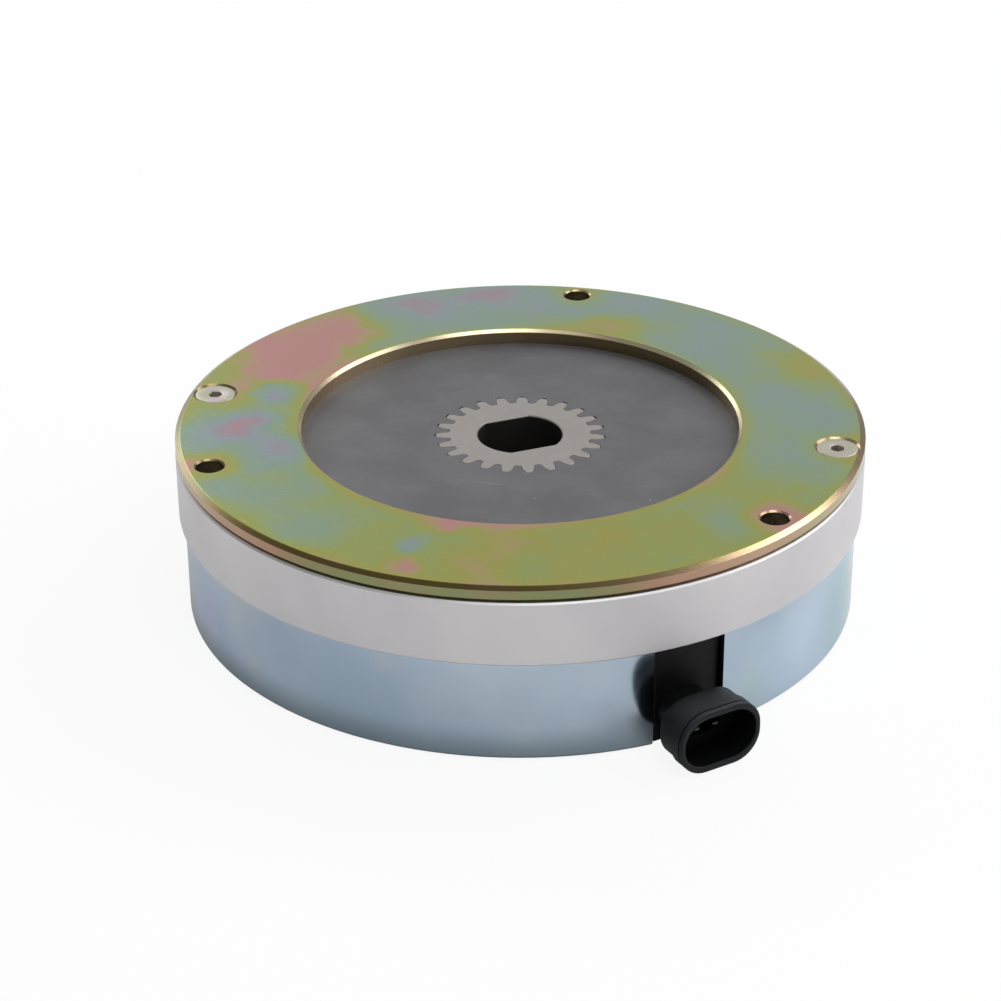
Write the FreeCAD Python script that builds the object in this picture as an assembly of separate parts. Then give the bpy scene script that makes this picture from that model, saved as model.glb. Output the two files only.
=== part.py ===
import FreeCAD, Part
import math
import os

# Spring-applied brake for the drive motor of a golf cart.
# Six springs press a steel armature against a friction disc, and the disc against the plate on top.
# Current in the coil pulls the armature down across the air gap, and the disc and hub turn freely.
# Units are millimetres. Z runs along the shaft, from the back face at 0 to the motor's side.
# The first mounting hole lies on +Y, and the two plate screws lie on the X axis.

# Friction plate on top. Its diameter sets the outline of the whole brake.
plate_diameter = 165.0
plate_thickness = 3.8
plate_face_width = 30.0
plate_top_chamfer_width = 1.3
plate_top_chamfer_depth = 0.7
plate_bottom_chamfer = 1.0
plate_bore_chamfer = 0.8

# Spacer ring under it, which stands a little proud of the plate all round
ring_overhang = 0.1
ring_wall = 12.6
ring_chamfer = 0.4

# Outside of the magnet body, which is a little smaller than the plate
body_inset = 1.3
body_height = 24.75
body_base_chamfer = 0.6

# Holes that the motor's bolts pass through, set in from the plate's edge
hole_edge_distance = 6.3
mounting_hole_diameter = 6.6
mounting_hole_count = 3
first_hole_angle = 90.0
hole_chamfer = 0.4

# Countersunk screws that hold the plate and the ring to the body
screw_diameter = 5.0
screw_length = 30.0
screw_head_diameter = 9.8
screw_head_rim = 0.3
screw_seat_gap = 0.02
screw_socket_across_flats = 3.0
screw_socket_depth = 1.9
screw_point_chamfer = 0.7
screw_angles = (0.0, 180.0)
countersink_diameter = 11.0
screw_hole_clearance = 0.25
thread_gap = 0.05
tapped_hole_extra = 2.0

# Friction disc and hub, joined by an involute spline
disc_edge_gap = 2.0
disc_thickness = 8.33
tooth_count = 23
tooth_module = 1.64
tooth_dedendum_modules = 1.2
tooth_root_rounding = 0.45
tooth_least_land = 0.3
pressure_angle = 20.0
first_tooth_angle = 5.9
tooth_end_chamfer = 0.4
spline_flank_gap = 0.1
spline_radial_gap = 0.1
hub_bore_diameter = 20.4
hub_bore_across_flats = 17.1
hub_bore_flat_angle = 33.0
hub_bore_chamfer = 0.3
hub_end_gap = 0.25

# Armature, its guide pins and the gap that it crosses
armature_edge_gap = 2.0
armature_hub_gap = 2.0
armature_thickness = 7.0
air_gap = 0.32
torque_pin_diameter = 6.0
torque_pin_inset = 2.0
torque_pin_count = 3
first_torque_pin_angle = 30.0
torque_pin_depth = 10.0
torque_pin_top_gap = 0.3
torque_pin_chamfer = 0.5
torque_pin_running_gap = 0.1
press_gap = 0.01

# Springs in pockets of the inner pole
spring_count = 6
first_spring_angle = 0.0
spring_mean_diameter = 7.8
spring_wire_diameter = 1.6
spring_active_turns = 2.75
spring_end_turns = 0.75
spring_ground_part = 0.25
spring_pocket_diameter = 10.0
spring_pocket_depth = 11.5
spring_pocket_wall = 3.5

# Inside of the magnet body, and the coil in its groove
body_bore_diameter = 26.0
body_bore_chamfer = 0.8
inner_pole_diameter = 76.0
outer_pole_width = 25.2
groove_depth = 17.5
bobbin_gap = 0.2
bobbin_wall = 1.5
bobbin_flange = 1.4
bobbin_height = 14.4
bobbin_outer_gap = 0.6
winding_end_gap = 0.1
winding_below_flange = 1.0
potting_recess = 0.4
potting_gap = 0.05

# Slot in the body's side, and the leads' channel from the groove to the slot
connector_azimuth = -47.5
slot_offset = -4.8
slot_width = 17.9
slot_back_wall = 4.0
channel_width = 8.6
channel_below_leads = 4.0

# Connector block in the slot. A narrow neck carries its oval shroud, clear of the body's side.
connector_offset = -6.3
connector_axis_height = 8.0
connector_side_gap = 0.1
connector_top_gap = 0.1
connector_base_gap = 0.5
connector_face_recess = 1.6
connector_edge_radius = 1.0
neck_width = 13.0
neck_height = 8.5
neck_corner = 4.0
neck_wall = 1.2
shroud_clearance = 5.3
shroud_reach = 14.6
shroud_width = 20.3
shroud_height = 14.5
shroud_corner = 6.6
shroud_back_chamfer = 0.4
shroud_floor = 1.2
lip_length = 4.4
lip_step = 0.4
lip_chamfer = 0.3
socket_width = 18.7
socket_height = 12.0
socket_corner = 5.6

# Blades of the connector, and the leads
blade_width = 1.5
blade_thickness = 0.8
blade_pitch = 5.0
blade_tip_depth = 5.8
blade_tip_chamfer = 0.25
blade_reach = 8.5
blade_tail_length = 5.5
blade_gap = 0.05
lead_diameter = 1.6
lead_gap = 0.2
lead_bend_radius = 2.4
lead_least_straight = 0.8

# Heights of the stack
ring_height = air_gap + armature_thickness + disc_thickness
ring_top = body_height + ring_height
plate_top = ring_top + plate_thickness
armature_bottom = body_height + air_gap
armature_top = armature_bottom + armature_thickness
spring_seat = body_height - spring_pocket_depth
groove_floor = body_height - groove_depth
bobbin_top = groove_floor + bobbin_height
lead_exit_height = groove_floor + bobbin_height / 2

# Diameters that follow from the plate's, from the outside inwards
ring_diameter = plate_diameter + 2 * ring_overhang
body_diameter = plate_diameter - 2 * body_inset
bolt_circle_diameter = plate_diameter - 2 * hole_edge_distance
ring_bore_diameter = ring_diameter - 2 * ring_wall
disc_diameter = ring_bore_diameter - 2 * disc_edge_gap
armature_diameter = ring_bore_diameter - 2 * armature_edge_gap
torque_pin_circle_diameter = armature_diameter - 2 * torque_pin_inset
groove_outer_diameter = body_diameter - 2 * outer_pole_width
plate_bore_diameter = plate_diameter - 2 * plate_face_width
spring_circle_diameter = inner_pole_diameter - 2 * spring_pocket_wall - spring_pocket_diameter

# A screw's cone lies a seat gap off the countersink's cone
sink_shoulder = (countersink_diameter - screw_head_diameter) / 2
screw_head_top = plate_top - sink_shoulder + screw_head_rim + screw_seat_gap
screw_point = screw_head_top - screw_length

# Radii of the coil
bobbin_inner = inner_pole_diameter / 2 + bobbin_gap
bobbin_outer = groove_outer_diameter / 2 - bobbin_outer_gap
winding_inner = bobbin_inner + bobbin_wall
winding_outer = bobbin_outer - winding_below_flange

# Radii of the spline
pitch_radius = tooth_count * tooth_module / 2
hub_tip_radius = pitch_radius + tooth_module
hub_root_radius = pitch_radius - tooth_dedendum_modules * tooth_module
base_radius = pitch_radius * math.cos(math.radians(pressure_angle))

# Places along the connector's direction, counted from the shaft
slot_back = groove_outer_diameter / 2 + slot_back_wall
blade_tail = slot_back + blade_tail_length
connector_face = body_diameter / 2 - connector_face_recess
shroud_back = body_diameter / 2 + shroud_clearance
shroud_inside = shroud_back + shroud_floor
shroud_mouth = body_diameter / 2 + shroud_reach
blade_tip = shroud_mouth - blade_tip_depth
neck_floor = blade_tip - blade_reach

# How far a cutting solid runs past the face that it cuts, and how near two places count as one
over = 1.0
same_place = 0.001

origin = FreeCAD.Vector(0, 0, 0)
shaft_axis = FreeCAD.Vector(0, 0, 1)


# A point at a radius and an angle about the shaft
def polar(radius, degrees, height=0.0):
    angle = math.radians(degrees)
    return FreeCAD.Vector(radius * math.cos(angle), radius * math.sin(angle), height)


# Angles of features spread evenly about the shaft
def around(count, first_angle):
    return [first_angle + number * 360.0 / count for number in range(count)]


# Places of features spread evenly on a circle about the shaft
def places_around(circle_diameter, angles):
    return [polar(circle_diameter / 2, angle) for angle in angles]


# An upright cylinder between two heights
def cylinder(radius, bottom, top, centre=origin):
    return Part.makeCylinder(radius, top - bottom, FreeCAD.Vector(centre.x, centre.y, bottom))


# An upright cone between two heights
def cone(bottom_radius, top_radius, bottom, top, centre=origin):
    base = FreeCAD.Vector(centre.x, centre.y, bottom)
    return Part.makeCone(bottom_radius, top_radius, top - bottom, base)


# A block from its low and high values of X, Y and Z
def block(x, y, z):
    return Part.makeBox(x[1] - x[0], y[1] - y[0], z[1] - z[0], FreeCAD.Vector(x[0], y[0], z[0]))


# A solid turned about the shaft from a half section of radius and height pairs
def turned(section):
    points = [FreeCAD.Vector(radius, 0, height) for radius, height in section]
    face = Part.Face(Part.makePolygon(points + points[:1]))
    return face.revolve(origin, shaft_axis, 360)


# A prism between two heights, from an outline drawn at height 0
def prism(outline, bottom, top):
    face = Part.Face(outline)
    face.translate(FreeCAD.Vector(0, 0, bottom))
    return face.extrude(FreeCAD.Vector(0, 0, top - bottom))


# A round hole between two heights, with a chamfer at the mouth and none at the far end
def chamfered_hole(diameter, mouth, far_end, centre):
    radius = diameter / 2
    wide = radius + hole_chamfer + over
    if mouth > far_end:
        hole = cylinder(radius, far_end - over, mouth + over, centre)
        return hole.fuse(cone(radius, wide, mouth - hole_chamfer, mouth + over, centre))
    hole = cylinder(radius, mouth - over, far_end + over, centre)
    return hole.fuse(cone(wide, radius, mouth - over, mouth + hole_chamfer, centre))


# Turns what is drawn along +X to where the connector sits
def at_connector(shape):
    placed = shape.copy()
    placed.rotate(origin, shaft_axis, connector_azimuth)
    return placed


# Low and high values of a width across the connector's direction, about its middle
def across(middle, width):
    return (middle - width / 2, middle + width / 2)


# Zinc plated ring on top, which the disc is pressed against
def make_friction_plate():
    radius = plate_diameter / 2
    bore = plate_bore_diameter / 2
    plate = turned([
        (bore, ring_top),
        (radius - plate_bottom_chamfer, ring_top),
        (radius, ring_top + plate_bottom_chamfer),
        (radius, plate_top - plate_top_chamfer_depth),
        (radius - plate_top_chamfer_width, plate_top),
        (bore + plate_bore_chamfer, plate_top),
        (bore, plate_top - plate_bore_chamfer)])
    cuts = [chamfered_hole(mounting_hole_diameter, plate_top, ring_top, place) for place in mounting_places]
    sink = countersink_diameter / 2
    for place in screw_places:
        cuts.append(cylinder(screw_diameter / 2 + screw_hole_clearance, ring_top - over, plate_top, place))
        cuts.append(cone(0, sink + over, plate_top - sink, plate_top + over, place))
    return plate.cut(cuts)


# Machined ring that holds the plate away from the magnet body
def make_spacer_ring():
    radius = ring_diameter / 2
    bore = ring_bore_diameter / 2
    ring = turned([
        (bore, body_height),
        (radius - ring_chamfer, body_height),
        (radius, body_height + ring_chamfer),
        (radius, ring_top - ring_chamfer),
        (radius - ring_chamfer, ring_top),
        (bore, ring_top)])
    hole_radius = mounting_hole_diameter / 2
    screw_hole_radius = screw_diameter / 2 + screw_hole_clearance
    cuts = [cylinder(hole_radius, body_height - over, ring_top + over, place) for place in mounting_places]
    for place in screw_places:
        cuts.append(cylinder(screw_hole_radius, body_height - over, ring_top + over, place))
    return ring.cut(cuts)


# Countersunk screw with a hexagon socket, drawn without its thread
def make_plate_screw(place):
    shank = screw_diameter / 2
    head = screw_head_diameter / 2
    screw = turned([
        (0, screw_point),
        (shank - screw_point_chamfer, screw_point),
        (shank, screw_point + screw_point_chamfer),
        (shank, screw_head_top - screw_head_rim - (head - shank)),
        (head, screw_head_top - screw_head_rim),
        (head, screw_head_top),
        (0, screw_head_top)])
    corner = screw_socket_across_flats / 2 / math.cos(math.radians(30))
    corners = [polar(corner, angle) for angle in around(6, 0.0)]
    hexagon = Part.makePolygon(corners + corners[:1])
    screw = screw.cut(prism(hexagon, screw_head_top - screw_socket_depth, screw_head_top + over))
    screw.translate(place)
    return screw


# The involute function
def involute(angle):
    return math.tan(angle) - angle


# Half of the angle that a spline tooth takes up at a radius, in degrees. Below the base circle its sides are radial.
def tooth_half_angle(radius):
    at_pitch = math.pi / (2 * tooth_count) + involute(math.radians(pressure_angle))
    half = at_pitch - involute(math.acos(min(1.0, base_radius / radius)))
    return math.degrees(max(half, tooth_least_land / 2 / radius))


# The outline of the spline, with round valleys. The disc's hole is the hub's outline with the running gaps added.
def spline_outline(radial_gap, flank_gap):
    root = hub_root_radius + radial_gap
    foot = root + tooth_root_rounding
    tip = hub_tip_radius + radial_gap
    middle = (foot + tip) / 2
    levels = (foot, middle, tip)
    half = {radius: tooth_half_angle(radius) + math.degrees(flank_gap / radius) for radius in levels}
    pitch_angle = 360.0 / tooth_count
    edges = []
    for centre in around(tooth_count, first_tooth_angle):
        rising = [polar(radius, centre - half[radius]) for radius in levels]
        falling = [polar(radius, centre + half[radius]) for radius in reversed(levels)]
        land_middle = polar(tip, centre)
        valley_middle = polar(root, centre + pitch_angle / 2)
        next_rising = polar(foot, centre + pitch_angle - half[foot])
        edges.append(Part.Arc(*rising).toShape())
        edges.append(Part.Arc(rising[-1], land_middle, falling[0]).toShape())
        edges.append(Part.Arc(*falling).toShape())
        edges.append(Part.Arc(falling[-1], valley_middle, next_rising).toShape())
    return Part.Wire(edges)


# Moulded friction disc, splined to the hub
def make_friction_disc():
    radius = disc_diameter / 2
    disc = turned([
        (0, armature_top),
        (radius, armature_top),
        (radius, ring_top),
        (0, ring_top)])
    outline = spline_outline(spline_radial_gap, spline_flank_gap)
    return disc.cut(prism(outline, armature_top - over, ring_top + over))


# Sintered hub with the spline outside and the motor shaft's double-D hole inside
def make_drive_hub():
    bottom = body_height + hub_end_gap
    top = ring_top
    shoulder = hub_tip_radius - tooth_end_chamfer
    clear = hub_tip_radius + over
    teeth = prism(spline_outline(0.0, 0.0), bottom, top)
    envelope = turned([
        (0, bottom),
        (shoulder, bottom),
        (clear, bottom + clear - shoulder),
        (clear, top - clear + shoulder),
        (shoulder, top),
        (0, top)])
    hole = prism(double_d_outline(0.0, 0.0), bottom - over, top + over)
    low_mouth = double_d_chamfer(bottom, bottom + hub_bore_chamfer)
    high_mouth = double_d_chamfer(top, top - hub_bore_chamfer)
    return teeth.common(envelope).cut([hole, low_mouth, high_mouth])


# The outline of a round hole with two flats, grown outwards and set at a height
def double_d_outline(growth, height):
    radius = hub_bore_diameter / 2 + growth
    half_flat = math.degrees(math.acos((hub_bore_across_flats / 2 + growth) / radius))
    edges = []
    for normal in (hub_bore_flat_angle + 90, hub_bore_flat_angle + 270):
        flat_start = polar(radius, normal - half_flat, height)
        flat_end = polar(radius, normal + half_flat, height)
        arc_end = polar(radius, normal + 180 - half_flat, height)
        edges.append(Part.LineSegment(flat_start, flat_end).toShape())
        edges.append(Part.Arc(flat_end, polar(radius, normal + 90, height), arc_end).toShape())
    return Part.Wire(edges)


# What the chamfer at a mouth of that hole takes away, from the hub's face to the chamfer's end
def double_d_chamfer(face_height, end_height):
    outlines = [double_d_outline(hub_bore_chamfer, face_height), double_d_outline(0.0, end_height)]
    return Part.makeLoft(outlines, True, True)


# Steel plate that the springs push up and the coil pulls down
def make_armature_plate():
    radius = armature_diameter / 2
    bore = hub_tip_radius + armature_hub_gap
    plate = turned([
        (bore, armature_bottom),
        (radius, armature_bottom),
        (radius, armature_top),
        (bore, armature_top)])
    seat = torque_pin_circle_diameter / 2
    notch_radius = torque_pin_diameter / 2 + torque_pin_running_gap
    height = (armature_bottom - over, armature_top + over)
    for angle in torque_pin_angles:
        notch = cylinder(notch_radius, height[0], height[1], polar(seat, 0.0))
        notch = notch.fuse(block((seat, radius + over), (-notch_radius, notch_radius), height))
        notch.rotate(origin, shaft_axis, angle)
        plate = plate.cut(notch)
    return plate


# Pin pressed into the outer pole, which stops the armature from turning
def make_torque_pin(place):
    radius = torque_pin_diameter / 2
    bottom = body_height - torque_pin_depth
    top = armature_top - torque_pin_top_gap
    pin = turned([
        (0, bottom),
        (radius, bottom),
        (radius, top - torque_pin_chamfer),
        (radius - torque_pin_chamfer, top),
        (0, top)])
    pin.translate(place)
    return pin


# Six-sided wire along straight runs, each mitred to the next
def mitred_wire(path, diameter):
    sides = 6
    runs = [(end - start).normalize() for start, end in zip(path, path[1:])]
    side = runs[0].cross(shaft_axis).normalize()
    up = side.cross(runs[0])
    angles = [2 * math.pi * corner / sides for corner in range(sides)]
    ring = [path[0] + (side * math.cos(angle) + up * math.sin(angle)) * (diameter / 2) for angle in angles]
    rings = [ring]
    for run, following, end in zip(runs, runs[1:] + runs[-1:], path[1:]):
        mitre = run + following
        ring = [corner + run * ((end - corner).dot(mitre) / run.dot(mitre)) for corner in ring]
        rings.append(ring)
    faces = [Part.Face(Part.makePolygon(cap + cap[:1])) for cap in (rings[0], rings[-1])]
    for near, far in zip(rings, rings[1:]):
        for corner in range(sides):
            after = (corner + 1) % sides
            quad = [near[corner], near[after], far[after], far[corner], near[corner]]
            faces.append(Part.Face(Part.makePolygon(quad)))
    wire = Part.makeSolid(Part.makeShell(faces))
    if wire.Volume < 0:
        wire.reverse()
    return wire


# Points along the spring's wire: a closed turn at each end, and the active turns between them
def spring_path():
    facets_per_turn = 8
    turns = spring_active_turns + 2 * spring_end_turns
    steps = round(turns * facets_per_turn)
    low = spring_seat + spring_wire_diameter * spring_ground_part
    high = armature_bottom - spring_wire_diameter * spring_ground_part
    end_rise = spring_wire_diameter * spring_end_turns
    points = []
    for step in range(steps + 1):
        turn = turns * step / steps
        if turn < spring_end_turns:
            height = low + end_rise * turn / spring_end_turns
        elif turn > turns - spring_end_turns:
            height = high - end_rise * (turns - turn) / spring_end_turns
        else:
            share = (turn - spring_end_turns) / spring_active_turns
            height = low + end_rise + (high - low - 2 * end_rise) * share
        points.append(polar(spring_mean_diameter / 2, 360.0 * turn, height))
    return points


# Compression spring with flat ground ends
def make_brake_spring(place):
    coil = mitred_wire(spring_path(), spring_wire_diameter)
    outside = spring_mean_diameter / 2 + spring_wire_diameter
    spring = coil.common(cylinder(outside, spring_seat, armature_bottom))
    spring.translate(place)
    return spring


# Zinc plated steel pot: two poles with the coil's groove between them
def make_magnet_body():
    radius = body_diameter / 2
    bore = body_bore_diameter / 2
    inner_pole = inner_pole_diameter / 2
    groove_outer = groove_outer_diameter / 2
    body = turned([
        (bore + body_bore_chamfer, 0),
        (radius - body_base_chamfer, 0),
        (radius, body_base_chamfer),
        (radius, body_height),
        (groove_outer, body_height),
        (groove_outer, groove_floor),
        (inner_pole, groove_floor),
        (inner_pole, body_height),
        (bore, body_height),
        (bore, body_bore_chamfer)])
    cuts = [connector_slot(), lead_channel()]
    for place in mounting_places:
        cuts.append(chamfered_hole(mounting_hole_diameter, 0, body_height, place))
    blind_holes = [
        (screw_places, screw_diameter / 2 + thread_gap, screw_point - tapped_hole_extra),
        (torque_pin_places, torque_pin_diameter / 2 + press_gap, body_height - torque_pin_depth),
        (spring_places, spring_pocket_diameter / 2, spring_seat)]
    for places, hole_radius, bottom in blind_holes:
        for place in places:
            cuts.append(cylinder(hole_radius, bottom, body_height + over, place))
    return body.cut(cuts)


# The slot through the body's side wall, over its full height
def connector_slot():
    slot = block((slot_back, body_diameter), across(slot_offset, slot_width), (-over, body_height + over))
    return at_connector(slot)


# The channel that lets the leads through the wall between the coil's groove and the slot
def lead_channel():
    start = groove_outer_diameter / 2 - channel_width / 2
    floor = lead_exit_height - channel_below_leads
    sides = across(connector_offset, channel_width)
    channel = block((start, slot_back + over), sides, (floor, body_height + over))
    return at_connector(channel)


# Plastic former with a flange at each end
def make_coil_bobbin():
    return turned([
        (bobbin_inner, groove_floor),
        (bobbin_outer, groove_floor),
        (bobbin_outer, groove_floor + bobbin_flange),
        (winding_inner, groove_floor + bobbin_flange),
        (winding_inner, bobbin_top - bobbin_flange),
        (bobbin_outer, bobbin_top - bobbin_flange),
        (bobbin_outer, bobbin_top),
        (bobbin_inner, bobbin_top)])


# Enamelled copper winding between the flanges
def make_coil_winding():
    bottom = groove_floor + bobbin_flange + winding_end_gap
    top = bobbin_top - bobbin_flange - winding_end_gap
    return turned([
        (winding_inner, bottom),
        (winding_outer, bottom),
        (winding_outer, top),
        (winding_inner, top)])


# Resin that closes the groove over the bobbin and plugs the channel over the leads
def make_coil_potting():
    inner = inner_pole_diameter / 2 + potting_gap
    outer = groove_outer_diameter / 2 - potting_gap
    top = body_height - potting_recess
    ring = turned([(inner, bobbin_top), (outer, bobbin_top), (outer, top), (inner, top)])
    start = outer - channel_width / 2
    floor = lead_exit_height + lead_diameter / 2 + lead_gap
    plug = block((start, slot_back), across(connector_offset, channel_width - 2 * potting_gap), (floor, top))
    plug = at_connector(plug).cut(cylinder(bobbin_outer + bobbin_outer_gap / 2, floor - over, bobbin_top))
    return ring.fuse(plug).removeSplitter()


# A rectangle with round corners, across the connector's direction
def rounded_outline(x, width, height, corner):
    y = width / 2 - corner
    z = height / 2 - corner
    slant = corner * math.sqrt(0.5)
    edges = []
    for turn, along, across in ((0, y, z), (1, z, y), (2, y, z), (3, z, y)):
        side_start = FreeCAD.Vector(0, along + corner, -across)
        side_end = FreeCAD.Vector(0, along + corner, across)
        corner_middle = FreeCAD.Vector(0, along + slant, across + slant)
        corner_end = FreeCAD.Vector(0, along, across + corner)
        side = Part.LineSegment(side_start, side_end).toShape()
        round_corner = Part.Arc(side_end, corner_middle, corner_end).toShape()
        for edge in (side, round_corner):
            edge.rotate(origin, FreeCAD.Vector(1, 0, 0), 90 * turn)
            edges.append(edge)
    outline = Part.Wire(edges)
    outline.translate(FreeCAD.Vector(x, connector_offset, connector_axis_height))
    return outline


# A prism with that outline between two places along the connector's direction
def oval_prism(start, end, width, height, corner):
    face = Part.Face(rounded_outline(start, width, height, corner))
    return face.extrude(FreeCAD.Vector(end - start, 0, 0))


# A solid through outlines of the shroud, from pairs of place and growth beyond the shroud's size
def shroud_solid(stations):
    outlines = []
    for x, growth in stations:
        width = shroud_width + 2 * growth
        height = shroud_height + 2 * growth
        outlines.append(rounded_outline(x, width, height, shroud_corner + growth))
    return Part.makeLoft(outlines, True, True)


# Moulded block in the slot, with an oval shroud on a neck round the two blades
def make_connector_housing():
    sides = across(slot_offset, slot_width - 2 * connector_side_gap)
    body = block((slot_back, connector_face), sides, (connector_base_gap, body_height - connector_top_gap))
    front_edges = [edge for edge in body.Edges
                   if abs(edge.CenterOfMass.x - connector_face) < same_place
                   and min(abs(edge.CenterOfMass.y - side) for side in sides) < same_place]
    body = body.makeFillet(connector_edge_radius, front_edges)
    neck = oval_prism(connector_face - over, shroud_inside, neck_width, neck_height, neck_corner)
    lip_start = shroud_mouth - lip_length
    shroud = shroud_solid([
        (shroud_back, -shroud_back_chamfer),
        (shroud_back + shroud_back_chamfer, 0),
        (lip_start, 0)])
    lip = shroud_solid([
        (lip_start, lip_step - lip_chamfer),
        (lip_start + lip_chamfer, lip_step),
        (shroud_mouth - lip_chamfer, lip_step),
        (shroud_mouth, lip_step - lip_chamfer)])
    housing = body.fuse([neck, shroud, lip]).cut(connector_sockets() + [lead_pocket()])
    return at_connector(housing.cut([blade(side, blade_gap) for side in (-1, 1)]).removeSplitter())


# The wide socket in the shroud, and the narrow one in the neck behind it
def connector_sockets():
    inner_width = neck_width - 2 * neck_wall
    inner_height = neck_height - 2 * neck_wall
    wide = oval_prism(shroud_inside, shroud_mouth + over, socket_width, socket_height, socket_corner)
    narrow = oval_prism(neck_floor, shroud_inside + over, inner_width, inner_height, neck_corner - neck_wall)
    return [wide, narrow]


# Hollow in the block's back, where the leads turn down to the blades
def lead_pocket():
    margin = lead_diameter / 2 + lead_gap
    return block((slot_back - over, blade_tail + lead_gap),
                 across(connector_offset, blade_pitch + 2 * margin),
                 (connector_axis_height - margin, lead_exit_height + margin))


# A flat blade along +X on one side of the connector's middle, grown by a gap on its long faces
def blade(side, gap):
    y = connector_offset + side * blade_pitch / 2
    half_width = blade_width / 2 + gap
    half_thickness = blade_thickness / 2 + gap
    return block((blade_tail, blade_tip), (y - half_width, y + half_width),
                 (connector_axis_height - half_thickness, connector_axis_height + half_thickness))


# Tinned blade held in the block, with a chamfered tip
def make_connector_pin(side):
    pin = blade(side, 0.0)
    tip_edges = [edge for edge in pin.Edges if abs(edge.CenterOfMass.x - blade_tip) < same_place]
    return at_connector(pin.makeChamfer(blade_tip_chamfer, tip_edges))


# Lead from the winding, through the channel, to the tail of a blade
def make_lead_wire(side):
    y = connector_offset + side * blade_pitch / 2
    start = math.sqrt(winding_outer ** 2 - y ** 2) + lead_diameter / 4
    drop = (slot_back + blade_tail) / 2
    room = min(lead_exit_height - connector_axis_height, blade_tail - slot_back) - lead_least_straight
    bend_radius = min(lead_bend_radius, room / 2)
    corners = [
        FreeCAD.Vector(start, y, lead_exit_height),
        FreeCAD.Vector(drop, y, lead_exit_height),
        FreeCAD.Vector(drop, y, connector_axis_height),
        FreeCAD.Vector(blade_tail, y, connector_axis_height)]
    return at_connector(mitred_wire(bent_path(corners, bend_radius), lead_diameter))


# Points along straight runs, with each corner rounded by an arc of short chords
def bent_path(corners, radius):
    chords = 4
    path = [corners[0]]
    for before, corner, after in zip(corners, corners[1:], corners[2:]):
        back = (before - corner).normalize()
        ahead = (after - corner).normalize()
        half_opening = back.getAngle(ahead) / 2
        half_turn = math.pi / 2 - half_opening
        inward = (back + ahead).normalize()
        tangent = (ahead - back).normalize()
        centre = corner + inward * (radius / math.sin(half_opening))
        for chord in range(chords + 1):
            angle = half_turn * (2 * chord / chords - 1)
            path.append(centre - inward * (radius * math.cos(angle)) + tangent * (radius * math.sin(angle)))
    path.append(corners[-1])
    return path


# Writes one node's file
def save(name, shape):
    shape.exportStep("parts/" + name + ".step")


mounting_places = places_around(bolt_circle_diameter, around(mounting_hole_count, first_hole_angle))
screw_places = places_around(bolt_circle_diameter, screw_angles)
torque_pin_angles = around(torque_pin_count, first_torque_pin_angle)
torque_pin_places = places_around(torque_pin_circle_diameter, torque_pin_angles)
spring_places = places_around(spring_circle_diameter, around(spring_count, first_spring_angle))

os.makedirs("parts", exist_ok=True)
save("friction_plate", make_friction_plate())
save("spacer_ring", make_spacer_ring())
save("friction_disc", make_friction_disc())
save("drive_hub", make_drive_hub())
save("armature_plate", make_armature_plate())
save("magnet_body", make_magnet_body())
save("coil_bobbin", make_coil_bobbin())
save("coil_winding", make_coil_winding())
save("coil_potting", make_coil_potting())
save("connector_housing", make_connector_housing())
for number, place in enumerate(screw_places, 1):
    save("plate_screw_" + str(number), make_plate_screw(place))
for number, place in enumerate(torque_pin_places, 1):
    save("torque_pin_" + str(number), make_torque_pin(place))
for number, place in enumerate(spring_places, 1):
    save("brake_spring_" + str(number), make_brake_spring(place))
for number, side in enumerate((-1, 1), 1):
    save("connector_pin_" + str(number), make_connector_pin(side))
    save("lead_wire_" + str(number), make_lead_wire(side))
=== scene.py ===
# %% [markdown]
# # Dressing a golf cart motor brake
# The brake arrives as finished solids: a plated ring on top, a machined ring under it, a plated steel pot, a
# friction disc on a toothed hub, and a black connector at the side. This lesson leaves those solids in place
# and gives each one the finish of the real piece. It makes the connector, the screws and the springs again,
# with the round edges that the solids lack, and sets up a camera and a soft studio.

# %% Load the solids
import math

import bmesh
import bpy
from mathutils import Matrix, Vector


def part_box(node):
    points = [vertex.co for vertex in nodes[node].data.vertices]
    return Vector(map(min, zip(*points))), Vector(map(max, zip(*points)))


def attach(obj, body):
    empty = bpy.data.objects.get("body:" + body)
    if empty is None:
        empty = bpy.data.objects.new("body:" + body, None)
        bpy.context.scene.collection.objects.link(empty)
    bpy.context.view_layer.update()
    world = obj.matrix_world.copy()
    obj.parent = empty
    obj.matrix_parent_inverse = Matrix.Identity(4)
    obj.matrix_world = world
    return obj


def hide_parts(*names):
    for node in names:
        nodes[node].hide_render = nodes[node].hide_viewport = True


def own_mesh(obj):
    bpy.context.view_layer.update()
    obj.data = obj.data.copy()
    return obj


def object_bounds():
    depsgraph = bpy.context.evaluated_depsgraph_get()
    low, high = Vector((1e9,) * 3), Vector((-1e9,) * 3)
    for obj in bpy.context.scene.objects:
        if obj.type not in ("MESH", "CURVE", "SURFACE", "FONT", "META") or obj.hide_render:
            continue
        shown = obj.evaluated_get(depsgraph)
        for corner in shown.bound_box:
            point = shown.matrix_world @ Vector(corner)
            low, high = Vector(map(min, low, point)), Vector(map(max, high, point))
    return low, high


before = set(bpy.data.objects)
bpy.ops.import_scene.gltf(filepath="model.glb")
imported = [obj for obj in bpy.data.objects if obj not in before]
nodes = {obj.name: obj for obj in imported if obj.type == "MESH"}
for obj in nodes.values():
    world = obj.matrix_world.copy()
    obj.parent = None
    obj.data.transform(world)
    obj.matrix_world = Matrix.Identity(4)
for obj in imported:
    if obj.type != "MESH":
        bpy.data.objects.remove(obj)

cad_low, cad_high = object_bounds()
box_size = [round(side * 1000, 1) for side in cad_high - cad_low]
print("pieces", len(nodes), "and the box's size in mm", box_size)

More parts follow.
